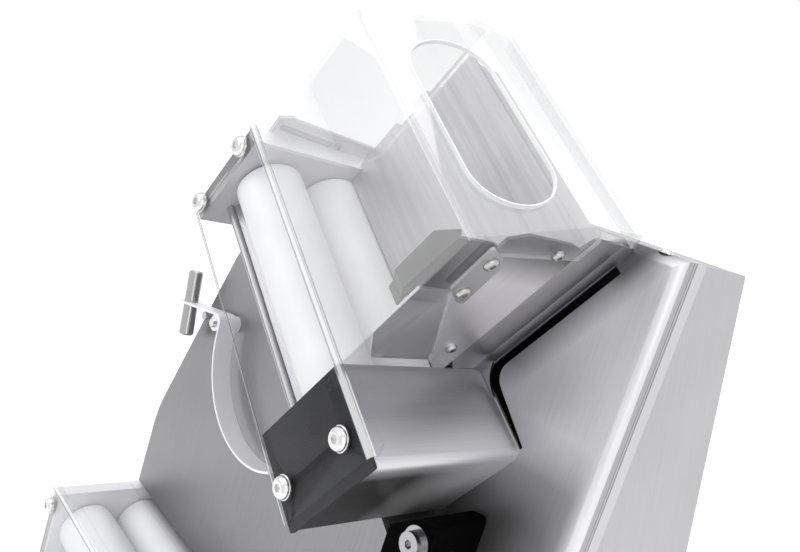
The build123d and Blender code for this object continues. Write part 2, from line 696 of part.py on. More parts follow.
# Cheek: a plate beside the hopper, folded in behind it and out again at the panel, with a web down to
# the gear casing
fold_b, fold_in, fold_low, fold_high = 98.0, 1.2, 10.0, 145.0
flare_b, flare_out = 130.5, 2.5
strip_low = HEAD_TOP + 0.3
notch_b, notch_low, notch_high = 29.5, 80.5, 130.0
web_r = 25.0
web_corner = (CHEEK_ALONG, strip_low)
web_top = (CHEEK_ALONG, web_r)
web_middle = (CHEEK_ALONG + web_r - web_r * cos(pi / 4), web_r - web_r * sin(pi / 4))
web_end = (CHEEK_ALONG + web_r, 0.0)
with BuildPart() as upper_cheek:
    with BuildSketch(across(UPPER, CHEEK_ALONG)) as cheek_face:
        with BuildLine():
            Polyline(
                (22.0, 9.0),
                (4.0, 36.0),
                (4.0, notch_low),
                (notch_b, notch_low),
                (notch_b, notch_high),
                (43.0, 136.5),
                (84.0, 137.0),
                (95.0, 135.0),
                (fold_b, fold_high),
                (fold_b, fold_low),
                close=True,
            )
        make_face()
        fillet(cheek_face.vertices().sort_by_distance((22.0, 9.0))[0], 8.0)
    extrude(amount=SHEET)
    with BuildSketch(level(UPPER, strip_low)):
        with BuildLine():
            Polyline(
                (CHEEK_ALONG + SHEET, fold_b),
                (CHEEK_ALONG + SHEET - fold_in, flare_b),
                (CHEEK_ALONG + SHEET - fold_in + flare_out, PANEL_B),
                (CHEEK_ALONG - fold_in + flare_out, PANEL_B),
                (CHEEK_ALONG - fold_in, flare_b),
                (CHEEK_ALONG, fold_b),
                close=True,
            )
        make_face()
    extrude(amount=fold_high - strip_low)
    with BuildSketch(across(UPPER, CHEEK_ALONG)):
        with BuildLine():
            Polyline((fold_b, fold_low), (fold_b + fold_low, strip_low), (fold_b, strip_low), close=True)
        make_face()
    extrude(amount=SHEET, both=True, mode=Mode.SUBTRACT)
    with BuildSketch(facing(UPPER, PANEL_B)):
        with BuildLine():
            Polyline(web_top, web_corner, (web_end[0], strip_low), web_end)
            ThreePointArc(web_end, web_middle, web_top)
        make_face()
    extrude(amount=SHEET)
save(upper_cheek, "upper_cheek")

tab_outline = ((19.7, 88.0), (18.2, 127.0), (31.8, 120.5), (39.2, 112.7), (40.4, 77.3), (33.3, 78.3))
with BuildPart() as hopper_tab:
    with BuildSketch(across(UPPER, HOPPER_NEAR)) as tab:
        with BuildLine():
            Polyline(*tab_outline, close=True)
        make_face()
        fillet(tab.vertices(), 2.0)
    extrude(amount=SHEET)
save(hopper_tab, "hopper_tab")

bracket_along = HEADS[0].outer
bracket_t, bracket_slot_t, bracket_low, bracket_front, bracket_back = 2.5, 1.5, -18.0, 19.0, 123.0
with BuildPart() as upper_slot_bracket:
    with BuildSketch(across(UPPER, bracket_along)):
        with BuildLine():
            Polyline(
                (bracket_front, bracket_low),
                (bracket_front, 14.1),
                (30.0, 17.5),
                (34.0, 16.0),
                (bracket_back, 11.0),
                (bracket_back, bracket_low),
                close=True,
            )
        make_face()
    extrude(amount=-bracket_t)
    with BuildSketch(across(UPPER, bracket_along)):
        with Locations((50.5, 4.3)):
            SlotOverall(54.0, 6.0, rotation=-4.2)
    extrude(amount=-bracket_slot_t, mode=Mode.SUBTRACT)
save(upper_slot_bracket, "upper_slot_bracket")

screw_rows = (
    (HOPPER_NEAR + SHEET, ((28.0, 114.2), (30.6, 87.5)), 5.0),
    (HOPPER_NEAR, ((75.0, 129.2),), 4.2),
    (CHEEK_ALONG + SHEET, ((82.0, 25.0),), 4.2),
    (bracket_along, ((82.0, 3.2), (118.0, 3.2)), 3.6),
)
screw_heads = [
    button_heads(across(UPPER, along), spots, radius, SCREW_H) for along, spots, radius in screw_rows
]
with BuildPart() as hopper_screws:
    for heads_part in screw_heads:
        add(heads_part)
save(hopper_screws, "hopper_screws")

# Clear sheet over the inlet of the lower head; dough passes behind its raised rear edge
inlet_far, inlet_near = HEADS[1].outer, -2.0
with BuildPart() as lower_inlet_guard:
    with BuildSketch(across(LOWER, inlet_far)):
        with BuildLine():
            FilletPolyline(
                (5.5, guard_top), (FLANGE_B, guard_top), (60, 11), (68, 12), radius=6.0
            )
            offset(amount=CLEAR_T, side=Side.LEFT)
        make_face()
    extrude(amount=inlet_near - inlet_far)
save(lower_inlet_guard, "lower_inlet_guard")

# Chute in front of the panel, and the dark block beside it

chute_solid = chute_block(CHUTE_B, 0.0)
chute_hollow = chute_block(CHUTE_B + SHEET, SHEET)
with BuildPart() as chute_plate:
    add(chute_solid)
    add(chute_hollow, mode=Mode.SUBTRACT)
save(chute_plate, "chute_plate")

block_left, block_right, block_bottom = CHUTE_RIGHT + 0.5, -9.0, -165.0
with BuildPart() as chute_side_block:
    with BuildSketch(facing(PANEL, CHUTE_B)) as block_face:
        with BuildLine():
            Polyline(
                (block_left, -78.0),
                (-24.0, -58.0),
                (block_right, -54.0),
                (block_right, block_bottom),
                (block_left, block_bottom),
                close=True,
            )
        make_face()
        fillet(block_face.vertices().group_by(Axis.X)[-1], 4.0)
    extrude(amount=CHUTE_B - PANEL_B)
save(chute_side_block, "chute_block")

block_bolt_at, block_bolt_r, block_bolt_h, block_washer_r = (-21.9, -75.8), 8.8, 7.0, 12.0
socket_r, socket_b = 3.4, 3.5
with BuildPart() as chute_block_bolt:
    with BuildSketch(facing(PANEL, CHUTE_B)):
        with Locations(block_bolt_at):
            Circle(block_washer_r)
    extrude(amount=WASHER_T)
    with BuildSketch(facing(PANEL, CHUTE_B - WASHER_T)):
        with Locations(block_bolt_at):
            Circle(block_bolt_r)
    extrude(amount=block_bolt_h)
    with BuildSketch(facing(PANEL, CHUTE_B - WASHER_T - block_bolt_h)):
        with Locations(block_bolt_at):
            RegularPolygon(socket_r, 6)
    extrude(amount=-socket_b, mode=Mode.SUBTRACT)
save(chute_block_bolt, "chute_block_bolt")

# Balance: a bent strip that swings on a pin in the chute, with a counterweight rod through its arm

pan_middle = Vector(PIVOT[0] + HUB_R + PAN_T + PAN_R, PIVOT[1])
pivot_middle = Vector(*PIVOT)
arm_way = Vector(-cos(radians(ARM_SLOPE)), -sin(radians(ARM_SLOPE)))
arm_up = Vector(arm_way.Y, -arm_way.X)
arm_start = pivot_middle + arm_up * (HUB_R + PAN_T)
arm_tip = arm_start + arm_way * ARM_L
strip_middle_b = (PAN_FRONT_B + PAN_BACK_B) / 2
weight_at = arm_start + arm_way * WEIGHT_ALONG
weight_seat = PANEL.from_local_coords((weight_at.X, weight_at.Y, -strip_middle_b))
weight_axis = Vector(arm_up.X, 0, 0) + PANEL_UP * arm_up.Y
weight_top = Plane(weight_seat, x_dir=PANEL_OUT, z_dir=weight_axis)
hub_back_b = CHUTE_B - 0.5
hub_seat = 0.5
with BuildPart() as balance_pan:
    with BuildSketch(facing(PANEL, PAN_FRONT_B)):
        with BuildLine():
            Line(arm_tip, arm_start)
            CenterArc(PIVOT, HUB_R + PAN_T, 90.0 + ARM_SLOPE, -90.0 - ARM_SLOPE)
            CenterArc(pan_middle, PAN_R, 180.0, PAN_END - 180.0)
            offset(amount=PAN_T, side=Side.RIGHT)
        make_face()
    extrude(amount=PAN_FRONT_B - PAN_BACK_B)
    corners = balance_pan.edges().filter_by(lambda edge: abs(edge.length - PAN_T) < 0.01)
    fillet(corners.sort_by(Axis.X)[:2], (PAN_BACK_B - PAN_FRONT_B) / 2 - 1.0)
    with BuildSketch(facing(PANEL, PAN_FRONT_B)):
        with Locations(PIVOT):
            Circle(HUB_R + hub_seat)
            Circle(PIVOT_R + RUNNING, mode=Mode.SUBTRACT)
    extrude(amount=PAN_FRONT_B - hub_back_b)
    with BuildSketch(weight_top):
        Circle(WEIGHT_STUD_R)
    extrude(amount=-PAN_T, mode=Mode.SUBTRACT)
save(balance_pan, "balance_pan")

# The counterweight is two rods, one on each face of the arm, on a stud through it
weight_half = (WEIGHT_L - PAN_T) / 2
with BuildPart() as balance_weight:
    for seat, length in ((0.0, weight_half), (-PAN_T, -weight_half)):
        with BuildSketch(weight_top.offset(seat)):
            Circle(WEIGHT_R)
        extrude(amount=length)
    ends = balance_weight.edges().filter_by(GeomType.CIRCLE).sort_by(Axis((0, 0, 0), weight_axis))
    chamfer([ends[0], ends[-1]], 1.5)
    with BuildSketch(weight_top):
        Circle(WEIGHT_STUD_R)
    extrude(amount=-PAN_T)
save(balance_weight, "balance_weight")

pin_clear, pin_head_r, pin_head_h = 0.4, 4.5, 3.0
with BuildPart() as balance_pivot:
    with BuildSketch(facing(PANEL, CHUTE_B)):
        with Locations(PIVOT):
            Circle(PIVOT_R)
    extrude(amount=CHUTE_B - PAN_FRONT_B + pin_clear)
    with BuildSketch(facing(PANEL, PAN_FRONT_B - pin_clear)):
        with Locations(PIVOT):
            Circle(pin_head_r)
    extrude(amount=pin_head_h, taper=15.0)
save(balance_pivot, "balance_pivot")

stop_r, stop_gap, stop_along = 4.0, 0.3, 21.0
stop_at = arm_start + arm_way * stop_along - arm_up * (PAN_T + stop_gap + stop_r)
with BuildPart() as balance_stop:
    with BuildSketch(facing(PANEL, CHUTE_B)):
        with Locations((stop_at.X, stop_at.Y)):
            Circle(stop_r)
    extrude(amount=CHUTE_B - PAN_FRONT_B)
save(balance_stop, "balance_stop")

# Drive: a belt from the motor turns both drive shafts

for head in HEADS:
    centre = drive_centre(head)
    drive_apex = facing(PANEL, REAR_B)
    # The pinion's gap faces the roller shaft's tooth, so it turns with the head
    pinion = bevel_gear(drive_apex, centre, 0.5 - head.turn * BEVEL_TEETH / 360.0)
    with BuildPart() as drive_shaft:
        add(pinion)
        with BuildSketch(drive_apex.offset(-BEVEL_FAR)):
            with Locations(centre):
                Circle(DRIVE_R)
        extrude(amount=REAR_B + BEVEL_FAR - PULLEY_B - PULLEY_W - 2 * RIM_T)
        for rim_b, radius, width in (
            (PULLEY_B - RIM_T, PULLEY_R + RIM_H, RIM_T),
            (PULLEY_B, PULLEY_R, PULLEY_W),
            (PULLEY_B + PULLEY_W, PULLEY_R + RIM_H, RIM_T),
        ):
            with BuildSketch(facing(PANEL, rim_b)):
                with Locations(centre):
                    Circle(radius)
            extrude(amount=-width)
    save(drive_shaft, f"{head.name}_drive_shaft")

bearing_r, bearing_t = 20.0, 12.0
with BuildPart() as drive_bearings:
    with BuildSketch(facing(PANEL, PANEL_B + SHEET)):
        with Locations(*[drive_centre(head) for head in HEADS]):
            Circle(bearing_r)
            Circle(DRIVE_R + RUNNING, mode=Mode.SUBTRACT)
    extrude(amount=-bearing_t)
save(drive_bearings, "drive_bearings")

motor_w, motor_box_l, motor_r, motor_l, rib_h = 90.0, 44.0, 50.0, 104.0, 4.0
with BuildPart() as gear_motor:
    with BuildSketch(facing(PANEL, MOTOR_B)):
        with Locations(MOTOR_AT):
            RectangleRounded(motor_w, motor_w, 10.0)
            Circle(DRIVE_R + RUNNING, mode=Mode.SUBTRACT)
    extrude(amount=-motor_box_l)
    with BuildSketch(facing(PANEL, MOTOR_B + motor_box_l)):
        with Locations(MOTOR_AT):
            Circle(motor_r)
            with PolarLocations(motor_r, 12):
                Rectangle(2 * rib_h, rib_h)
    extrude(amount=-motor_l)
save(gear_motor, "gear_motor")

post_r, bracket_plate_t, post_in = 7.0, 4.0, 9.0
with BuildPart() as motor_bracket:
    with BuildSketch(facing(PANEL, MOTOR_B)):
        with Locations(MOTOR_AT):
            RectangleRounded(motor_w + 20.0, motor_w + 20.0, 10.0)
            Circle(DRIVE_R + 4.0, mode=Mode.SUBTRACT)
    extrude(amount=bracket_plate_t)
    with BuildSketch(facing(PANEL, MOTOR_B - bracket_plate_t)):
        with Locations(MOTOR_AT):
            with GridLocations(motor_w + 20.0 - 2 * post_in, motor_w + 20.0 - 2 * post_in, 2, 2):
                Circle(post_r)
    extrude(amount=MOTOR_B - bracket_plate_t - PANEL_B - SHEET)
save(motor_bracket, "motor_bracket")

with BuildPart() as motor_pulley:
    for rim_b, radius, width in (
        (PULLEY_B - RIM_T, PULLEY_R + RIM_H, RIM_T),
        (PULLEY_B, PULLEY_R, PULLEY_W),
        (PULLEY_B + PULLEY_W, PULLEY_R + RIM_H, RIM_T),
        (PULLEY_B + PULLEY_W + RIM_T, DRIVE_R, MOTOR_B - PULLEY_B),
    ):
        with BuildSketch(facing(PANEL, rim_b)):
            with Locations(MOTOR_AT):
                Circle(radius)
        extrude(amount=-width)
save(motor_pulley, "motor_pulley")

with BuildPart() as drive_belt:
    with BuildSketch(facing(PANEL, PULLEY_B + (PULLEY_W - BELT_W) / 2)):
        with Locations(*[drive_centre(head) for head in HEADS], MOTOR_AT):
            Circle(PULLEY_R + BELT_CLEAR + BELT_T)
        make_hull()
        offset(amount=-BELT_T, mode=Mode.SUBTRACT)
    extrude(amount=-BELT_W)
save(drive_belt, "drive_belt")

# Controls

collar_r, collar_h, button_clear, button_back = 15.0, 5.0, 0.4, 12.0
with BuildPart() as button_collars:
    with BuildSketch(facing(PANEL, PANEL_B)):
        with Locations((BUTTON_X, START_UP), (BUTTON_X, STOP_UP)):
            Circle(collar_r)
            Circle(BUTTON_R + button_clear, mode=Mode.SUBTRACT)
    extrude(amount=collar_h, taper=15.0)
save(button_collars, "button_collars")

for label, button_up, proud in (("start_button", START_UP, 4.5), ("stop_button", STOP_UP, 9.0)):
    with BuildPart() as button:
        with BuildSketch(facing(PANEL, PANEL_B + button_back)):
            with Locations((BUTTON_X, button_up)):
                Circle(BUTTON_R)
        extrude(amount=button_back + collar_h + proud)
        fillet(button.faces().sort_by(OUTWARDS)[-1].edges(), 1.5)
    save(button, label)
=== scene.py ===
"""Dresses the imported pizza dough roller: materials, soft edges, studio light and the photograph's camera."""
from math import cos, radians, sin

import bpy
from mathutils import Matrix, Vector


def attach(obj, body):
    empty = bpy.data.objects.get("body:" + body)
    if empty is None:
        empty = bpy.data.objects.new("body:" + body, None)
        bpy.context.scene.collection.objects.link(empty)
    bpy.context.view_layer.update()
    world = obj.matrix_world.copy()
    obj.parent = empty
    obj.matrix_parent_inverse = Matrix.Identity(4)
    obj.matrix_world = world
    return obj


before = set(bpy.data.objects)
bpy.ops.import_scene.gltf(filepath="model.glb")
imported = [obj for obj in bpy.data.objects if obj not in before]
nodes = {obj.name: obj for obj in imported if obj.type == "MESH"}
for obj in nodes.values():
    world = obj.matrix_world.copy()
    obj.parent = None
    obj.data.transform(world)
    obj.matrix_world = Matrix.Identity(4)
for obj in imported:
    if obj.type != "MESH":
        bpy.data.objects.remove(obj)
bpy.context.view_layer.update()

# The same frames as the part: the panel leans back, and the upper head is turned in its plane
LEAN = radians(21.5)
TILT = radians(34.5)
CORNER = Vector((0.1801, -0.074, 0.440))
X = Vector((1, 0, 0))
PLUMB = Vector((0, 0, 1))
UP = Vector((0, sin(LEAN), cos(LEAN)))
DEEP = Vector((0, cos(LEAN), -sin(LEAN)))
ALONG = X * cos(TILT) - UP * sin(TILT)
ACROSS = X * sin(TILT) + UP * cos(TILT)

# Noise: its own roughness, and the parts of its range over which a colour and a roughness change
NOISE_ROUGHNESS = 0.6
COLOUR_RANGE = (0.35, 0.65)
ROUGH_RANGE = (0.3, 0.7)

# Share by which a roughness changes either way
ROUGH_CHANGE = 0.15

WHITE = (1.0, 1.0, 1.0, 1.0)


class Tree:
    """Short ways to add nodes to the node tree of a material or of the world."""

    def __init__(self, tree):
        self.tree = tree

    def node(self, kind, **values):
        """Adds a node. Each value is for the input of that name, or else for a setting of the node."""
        made = self.tree.nodes.new(kind)
        for key, value in values.items():
            if key in made.inputs:
                made.inputs[key].default_value = value
            else:
                setattr(made, key, value)
        return made

    def link(self, out, into):
        self.tree.links.new(out, into)

    def math(self, operation, *values):
        """One arithmetic step on outputs and numbers."""
        made = self.node("ShaderNodeMath", operation=operation)
        for socket, value in zip(made.inputs, values):
            if isinstance(value, float):
                socket.default_value = value
            else:
                self.link(value, socket)
        return made.outputs[0]

    def mapped(self, value, start, end, low=0.0, high=1.0):
        """Low up to the start, high from the end on, and straight between."""
        made = self.node("ShaderNodeMapRange")
        limits = {"From Min": start, "From Max": end, "To Min": low, "To Max": high}
        for name, limit in limits.items():
            made.inputs[name].default_value = limit
        self.link(value, made.inputs["Value"])
        return made.outputs["Result"]


class Shader(Tree):
    """A new material and the patterns that it is made of."""

    def __init__(self, name):
        self.material = bpy.data.materials.new(name)
        self.material.use_nodes = True
        super().__init__(self.material.node_tree)
        self.bsdf = self.tree.nodes["Principled BSDF"]

    def set(self, **values):
        """Sets inputs of the surface, with underscores for the spaces in their names."""
        for key, value in values.items():
            self.bsdf.inputs[key.replace("_", " ")].default_value = value
        return self

    def coords(self):
        """Object coordinates, in metres."""
        return self.node("ShaderNodeTexCoord").outputs["Object"]

    def grain_space(self, direction, stretch):
        """Object coordinates turned so that x runs along a direction, then squeezed along it."""
        along = direction.normalized()
        side = along.orthogonal().normalized()
        turn = Matrix((along, side, along.cross(side))).transposed()
        mapping = self.node("ShaderNodeMapping", vector_type="TEXTURE", Rotation=turn.to_euler())
        mapping.inputs["Scale"].default_value = (stretch, 1.0, 1.0)
        self.link(self.coords(), mapping.inputs["Vector"])
        return mapping.outputs["Vector"]

    def noise(self, vector, scale, detail):
        made = self.node("ShaderNodeTexNoise", Scale=scale, Detail=detail, Roughness=NOISE_ROUGHNESS)
        self.link(vector, made.inputs["Vector"])
        return made.outputs["Fac"]

    def ramp(self, fac, colours, limits=COLOUR_RANGE):
        """First colour up to the first limit, second colour from the second limit on."""
        made = self.node("ShaderNodeValToRGB")
        for element, colour, limit in zip(made.color_ramp.elements, colours, limits):
            element.position = limit
            element.color = (*colour, 1.0)
        self.link(fac, made.inputs["Fac"])
        return made.outputs["Color"]

    def blend(self, first, second, share):
        """Weighted mean of two factors, with a share of the second."""
        return self.math("MULTIPLY_ADD", first, 1.0 - share, self.math("MULTIPLY", second, share))

    def reach(self, direction, origin):
        """Distance of the surface from a point, measured along a direction."""
        along = self.node("ShaderNodeVectorMath", operation="DOT_PRODUCT")
        along.inputs[1].default_value = direction
        self.link(self.coords(), along.inputs[0])
        return self.math("SUBTRACT", along.outputs["Value"], direction.dot(origin))

    def past(self, limits):
        """1 past the end of every limit, 0 before the start of any.

        A limit is a direction with a start and an end along it, measured from the panel's corner.
        """
        covered, *others = [
            self.mapped(self.reach(way, CORNER), start, end) for way, start, end in limits
        ]
        for other in others:
            covered = self.math("MULTIPLY", covered, other)
        return covered

    def facing(self, direction, stops):
        """Factor between 0 and 1 by how squarely the surface faces along a direction, either way."""
        tilt = self.node("ShaderNodeVectorMath", operation="DOT_PRODUCT")
        tilt.inputs[1].default_value = direction
        self.link(self.node("ShaderNodeNewGeometry").outputs["Normal"], tilt.inputs[0])
        made = self.node("ShaderNodeValToRGB")
        elements = made.color_ramp.elements
        for element, (position, tone) in zip(elements, (stops[0], stops[-1])):
            element.position = position
            element.color = (tone, tone, tone, 1.0)
        for position, tone in stops[1:-1]:
            elements.new(position).color = (tone, tone, tone, 1.0)
        self.link(self.math("ABSOLUTE", tilt.outputs["Value"]), made.inputs["Fac"])
        return made.outputs["Color"]

    def tinted(self, fac, tone, into):
        """Multiplies the colour that goes into an input by a tone, where a factor is 1."""
        mix = self.node("ShaderNodeMix", data_type="RGBA", blend_type="MULTIPLY")
        first, second = (socket for socket in mix.inputs if socket.type == "RGBA")
        self.link(fac, mix.inputs["Factor"])
        self.link(into.links[0].from_socket, first)
        second.default_value = (tone, tone, tone, 1.0)
        result = next(socket for socket in mix.outputs if socket.type == "RGBA")
        self.link(result, into)

    def roughened(self, fac, rough):
        """Lets the roughness change a little with a factor."""
        low = rough * (1.0 - ROUGH_CHANGE)
        high = rough * (1.0 + ROUGH_CHANGE)
        self.link(self.mapped(fac, *ROUGH_RANGE, low, high), self.bsdf.inputs["Roughness"])

    def bump(self, fac, strength, distance):
        made = self.node("ShaderNodeBump", Strength=strength, Distance=distance)
        self.link(fac, made.inputs["Height"])
        self.link(made.outputs["Normal"], self.bsdf.inputs["Normal"])

    def mix(self, fac, first, second):
        """Goes from the first surface to the second with a factor."""
        made = self.node("ShaderNodeMixShader")
        self.link(fac, made.inputs["Fac"])
        self.link(first.outputs[0], made.inputs[1])
        self.link(second.outputs[0], made.inputs[2])
        return made

    def show(self, surface):
        """Makes a surface the one that is seen."""
        self.link(surface.outputs[0], self.tree.nodes["Material Output"].inputs["Surface"])


# Brushed metal
STEEL_TINT = (1.0, 0.99, 1.022)
PLAIN_TINT = (1.0, 1.0, 1.0)
BRONZE_TINT = (1.0, 0.68, 0.30)
HAIR_SCALE = 2400.0
HAIR_BUMP = 0.02
HAIR_DEPTH = 0.0001
STREAK_SCALE = 150.0
STREAK_STRETCH = 30.0
STEEL_CLOUDS = 7.0
CLOUD_SHARE = 0.35


def brushed(
    name, direction, tones, rough, stretch=120.0, streak=0.12, tint=STEEL_TINT, metal=1.0, masks=(), facets=()
):
    """Brushed metal: hair-fine lines along one direction, a few broad streaks, and slow cloudy change.

    Masks and facets paint light and shade into the colour.
    Each mask is one or more limits and a tone: past all limits the colour is multiplied by the tone.
    Each facet is a direction, stops and a tone: the stops say how squarely a surface has to face that way.
    """
    shader = Shader(name).set(Metallic=metal)
    fine = shader.noise(shader.grain_space(direction, stretch), HAIR_SCALE, detail=2.0)
    broad = shader.noise(shader.grain_space(direction, STREAK_STRETCH), STREAK_SCALE, detail=3.0)
    clouds = shader.noise(shader.coords(), STEEL_CLOUDS, detail=2.0)
    lines = shader.blend(fine, broad, streak)
    shade = shader.blend(lines, clouds, CLOUD_SHARE)
    colour = shader.bsdf.inputs["Base Color"]
    shader.link(shader.ramp(shade, [[tone * share for share in tint] for tone in tones]), colour)
    for *limits, tone in masks:
        shader.tinted(shader.past(limits), tone, colour)
    for way, stops, tone in facets:
        shader.tinted(shader.facing(way, stops), tone, colour)
    shader.roughened(lines, rough)
    shader.bump(fine, HAIR_BUMP, HAIR_DEPTH)
    return shader.material


# Painted shade on the panel: beside its opening, at the opening's upper end, and in two steps below the upper
# casing
NEAR_OPENING = (ALONG, -0.085, -0.075)
ABOVE_BUTTONS = (UP, -0.200, -0.110)
PANEL_PAINTED_SHADE = (
    ((-ALONG, 0.042, 0.061), NEAR_OPENING, (ACROSS, -0.010, 0.030), 0.35),
    ((-ALONG, 0.050, 0.060), NEAR_OPENING, (ACROSS, 0.118, 0.130), 0.55),
    ((-UP, -0.028, 0.008), ABOVE_BUTTONS, (-X, -0.057, -0.047), 0.50),
    ((-UP, 0.000, 0.045), ABOVE_BUTTONS, (-X, -0.057, -0.035), 0.58),
)
# A painted highlight on the panel's right-hand fold, and painted shade on the narrow side behind it
PANEL_FOLD_PAINTED_LIGHT = (
    (X, ((0.0, 0.0), (0.10, 0.0), (0.16, 1.0), (0.96, 1.0), (0.99, 0.0)), 1.10),
    (X, ((0.0, 0.0), (0.97, 0.0), (0.995, 1.0)), 0.62),
)
# Painted shade on the upper casing: on its end face, low and towards the front, and all over away from that
# face
CASING_PAINTED_SHADE = (
    ((ALONG, -0.0012, -0.0002), (-DEEP, -0.110, -0.050), (-ACROSS, -0.002, 0.020), 0.06),
    ((-ALONG, 0.010, 0.034), 0.58),
)
# Painted shade and highlight on the cheek: its face dark at the top and bright before the fold; behind it come
# a strip and a darker flare
BEFORE_FOLD = (-DEEP, -0.0984, -0.0978)
CHEEK_PAINTED_LIGHT = (
    ((ACROSS, 0.095, 0.130), BEFORE_FOLD, 0.05),
    ((DEEP, 0.070, 0.095), BEFORE_FOLD, 1.18),
    ((DEEP, 0.0978, 0.0984), 0.75),
    ((DEEP, 0.105, 0.130), 1.50),
    ((DEEP, 0.1298, 0.1312), 0.50),
)
# Painted shade: the guide in front of the back wall is dark, and so is the floor of the bracket's slot
GUIDE_PAINTED_SHADE = (((-DEEP, -0.062, -0.058), 0.20),)
SLOT_PAINTED_SHADE = (((-ALONG, 0.2784, 0.2790), 0.6),)
# Cut edges: painted shade on the cheek, and a painted highlight on the bearing plates
CHEEK_EDGE_SHADE = ((ACROSS, ((0.0, 0.0), (0.60, 0.0), (0.80, 1.0)), 0.35),)
PLATE_STOPS = ((0.0, 0.0), (0.90, 0.0), (0.97, 1.0))
PLATE_EDGE_HIGHLIGHT = 1.75

panel_steel = brushed(
    "panel_brushed", UP, tones=(0.58, 0.69), rough=0.45, masks=PANEL_PAINTED_SHADE, facets=PANEL_FOLD_PAINTED_LIGHT
)
neck_steel = brushed("neck_brushed", ALONG, tones=(0.54, 0.64), rough=0.45)
chute_steel = brushed("chute_brushed", UP, tones=(0.24, 0.31), rough=0.40)
sheet_across = brushed("sheet_brushed_across", X, tones=(0.42, 0.52), rough=0.38)
strip_steel = brushed("strip_brushed", X, tones=(0.37, 0.46), rough=0.32)
casing_steel = brushed("casing_bright", DEEP, tones=(0.66, 0.76), rough=0.42)
upper_casing = brushed(
    "casing_bright_upper", DEEP, tones=(0.66, 0.76), rough=0.42, metal=0.75, masks=CASING_PAINTED_SHADE
)
pan_steel = brushed("pan_brushed", X, tones=(0.80, 0.90), rough=0.40, metal=0.2)
wall_steel = brushed("wall_brushed", ALONG, tones=(0.38, 0.61), rough=0.42, streak=0.55, masks=GUIDE_PAINTED_SHADE)
cheek_steel = brushed(
    "cheek_brushed", ACROSS, tones=(0.70, 0.82), rough=0.34, masks=CHEEK_PAINTED_LIGHT, facets=CHEEK_EDGE_SHADE
)
side_steel = brushed("side_brushed", PLUMB, tones=(0.40, 0.50), rough=0.40)
hem_steel = brushed("hem_brushed", PLUMB, tones=(0.50, 0.60), rough=0.40)
upper_plate = brushed(
    "plate_satin_upper", DEEP, tones=(0.54, 0.64), rough=0.48, stretch=20.0, metal=0.4,
    facets=((ACROSS, PLATE_STOPS, PLATE_EDGE_HIGHLIGHT),),
)
lower_plate = brushed(
    "plate_satin_lower", DEEP, tones=(0.54, 0.64), rough=0.48, stretch=20.0, metal=0.4,
    facets=((UP, PLATE_STOPS, PLATE_EDGE_HIGHLIGHT),),
)
# Painted light: the lower far plate has a lighter copy of the bearing plates' satin steel, for a face that
# lies in shade
lower_far = brushed("plate_satin_far", DEEP, tones=(0.80, 0.88), rough=0.48, stretch=20.0, metal=0.15)
bracket_metal = brushed(
    "bracket_satin", DEEP, tones=(0.74, 0.84), rough=0.46, stretch=20.0, metal=0.5, masks=SLOT_PAINTED_SHADE
)
turned = brushed("turned_steel", X, tones=(0.42, 0.60), rough=0.25, stretch=30.0)
turned_upper = brushed("turned_steel_upper", ALONG, tones=(0.30, 0.42), rough=0.30, stretch=30.0)
weight_steel = brushed("weight_steel", UP, tones=(0.38, 0.50), rough=0.22, stretch=20.0)
polished = brushed("polished_fastener", DEEP, tones=(0.66, 0.80), rough=0.18, stretch=4.0, tint=PLAIN_TINT)
screw_steel = brushed("screw_steel", DEEP, tones=(0.38, 0.52), rough=0.20, stretch=4.0, tint=PLAIN_TINT)
dull_bolt = brushed("dull_bolt", DEEP, tones=(0.34, 0.46), rough=0.22, stretch=4.0)
bronze = brushed("bearing_bronze", X, tones=(0.44, 0.60), rough=0.30, stretch=10.0, tint=BRONZE_TINT)

# Plastic, rubber and paint
MOULD_CLOUDS = 14.0
MOULD_DEPTH = 0.0003


def moulded(name, dark, light, rough, grain, bump, shine=0.5):
    """Plastic, rubber or paint: a fine grain with a slight change of colour."""
    shader = Shader(name).set(Specular_IOR_Level=shine)
    fine = shader.noise(shader.coords(), grain, detail=6.0)
    cloud = shader.noise(shader.coords(), MOULD_CLOUDS, detail=3.0)
    shader.link(shader.ramp(cloud, (dark, light)), shader.bsdf.inputs["Base Color"])
    shader.roughened(fine, rough)
    shader.bump(fine, bump, MOULD_DEPTH)
    return shader.material


dark_cover = moulded(
    "dark_cover", (0.040, 0.040, 0.044), (0.048, 0.048, 0.052),
    rough=0.50, grain=60.0, bump=0.004, shine=0.12,
)
motor_paint = moulded(
    "motor_paint", (0.05, 0.055, 0.06), (0.08, 0.085, 0.09), rough=0.5, grain=900.0, bump=0.25
)
white_plastic = moulded(
    "roller_white", (0.84, 0.84, 0.85), (0.89, 0.89, 0.90), rough=0.42, grain=1500.0, bump=0.04
)
black_plastic = moulded(
    "black_plastic", (0.004, 0.004, 0.0045), (0.008, 0.008, 0.009), rough=0.5, grain=1800.0, bump=0.10
)
block_black = moulded(
    "block_black", (0.001, 0.001, 0.001), (0.002, 0.002, 0.002),
    rough=0.6, grain=1800.0, bump=0.03, shine=0.02,
)
rubber = moulded(
    "black_rubber", (0.015, 0.015, 0.015), (0.03, 0.03, 0.03), rough=0.75, grain=1200.0, bump=0.3
)
green = moulded("button_green", (0.01, 0.22, 0.05), (0.02, 0.30, 0.08), rough=0.30, grain=1500.0, bump=0.05)
red = moulded("button_red", (0.45, 0.012, 0.012), (0.58, 0.02, 0.02), rough=0.30, grain=1500.0, bump=0.05)

# Clear sheets: their colour square on and at a slant, their gloss, and the haze of their bends
CLEAR_TONES = ((0.990, 0.992, 0.994), (0.76, 0.77, 0.78))
SLANT_RANGE = (0.55, 0.98)
SLANT_POWER = 5.0
SLANT_GLOSS = 0.9
SMEAR_SCALE = 22.0
GLOSS_ROUGH = (0.015, 0.05)
HAZE = ((0.86, 0.87, 0.88), (0.94, 0.945, 0.95))

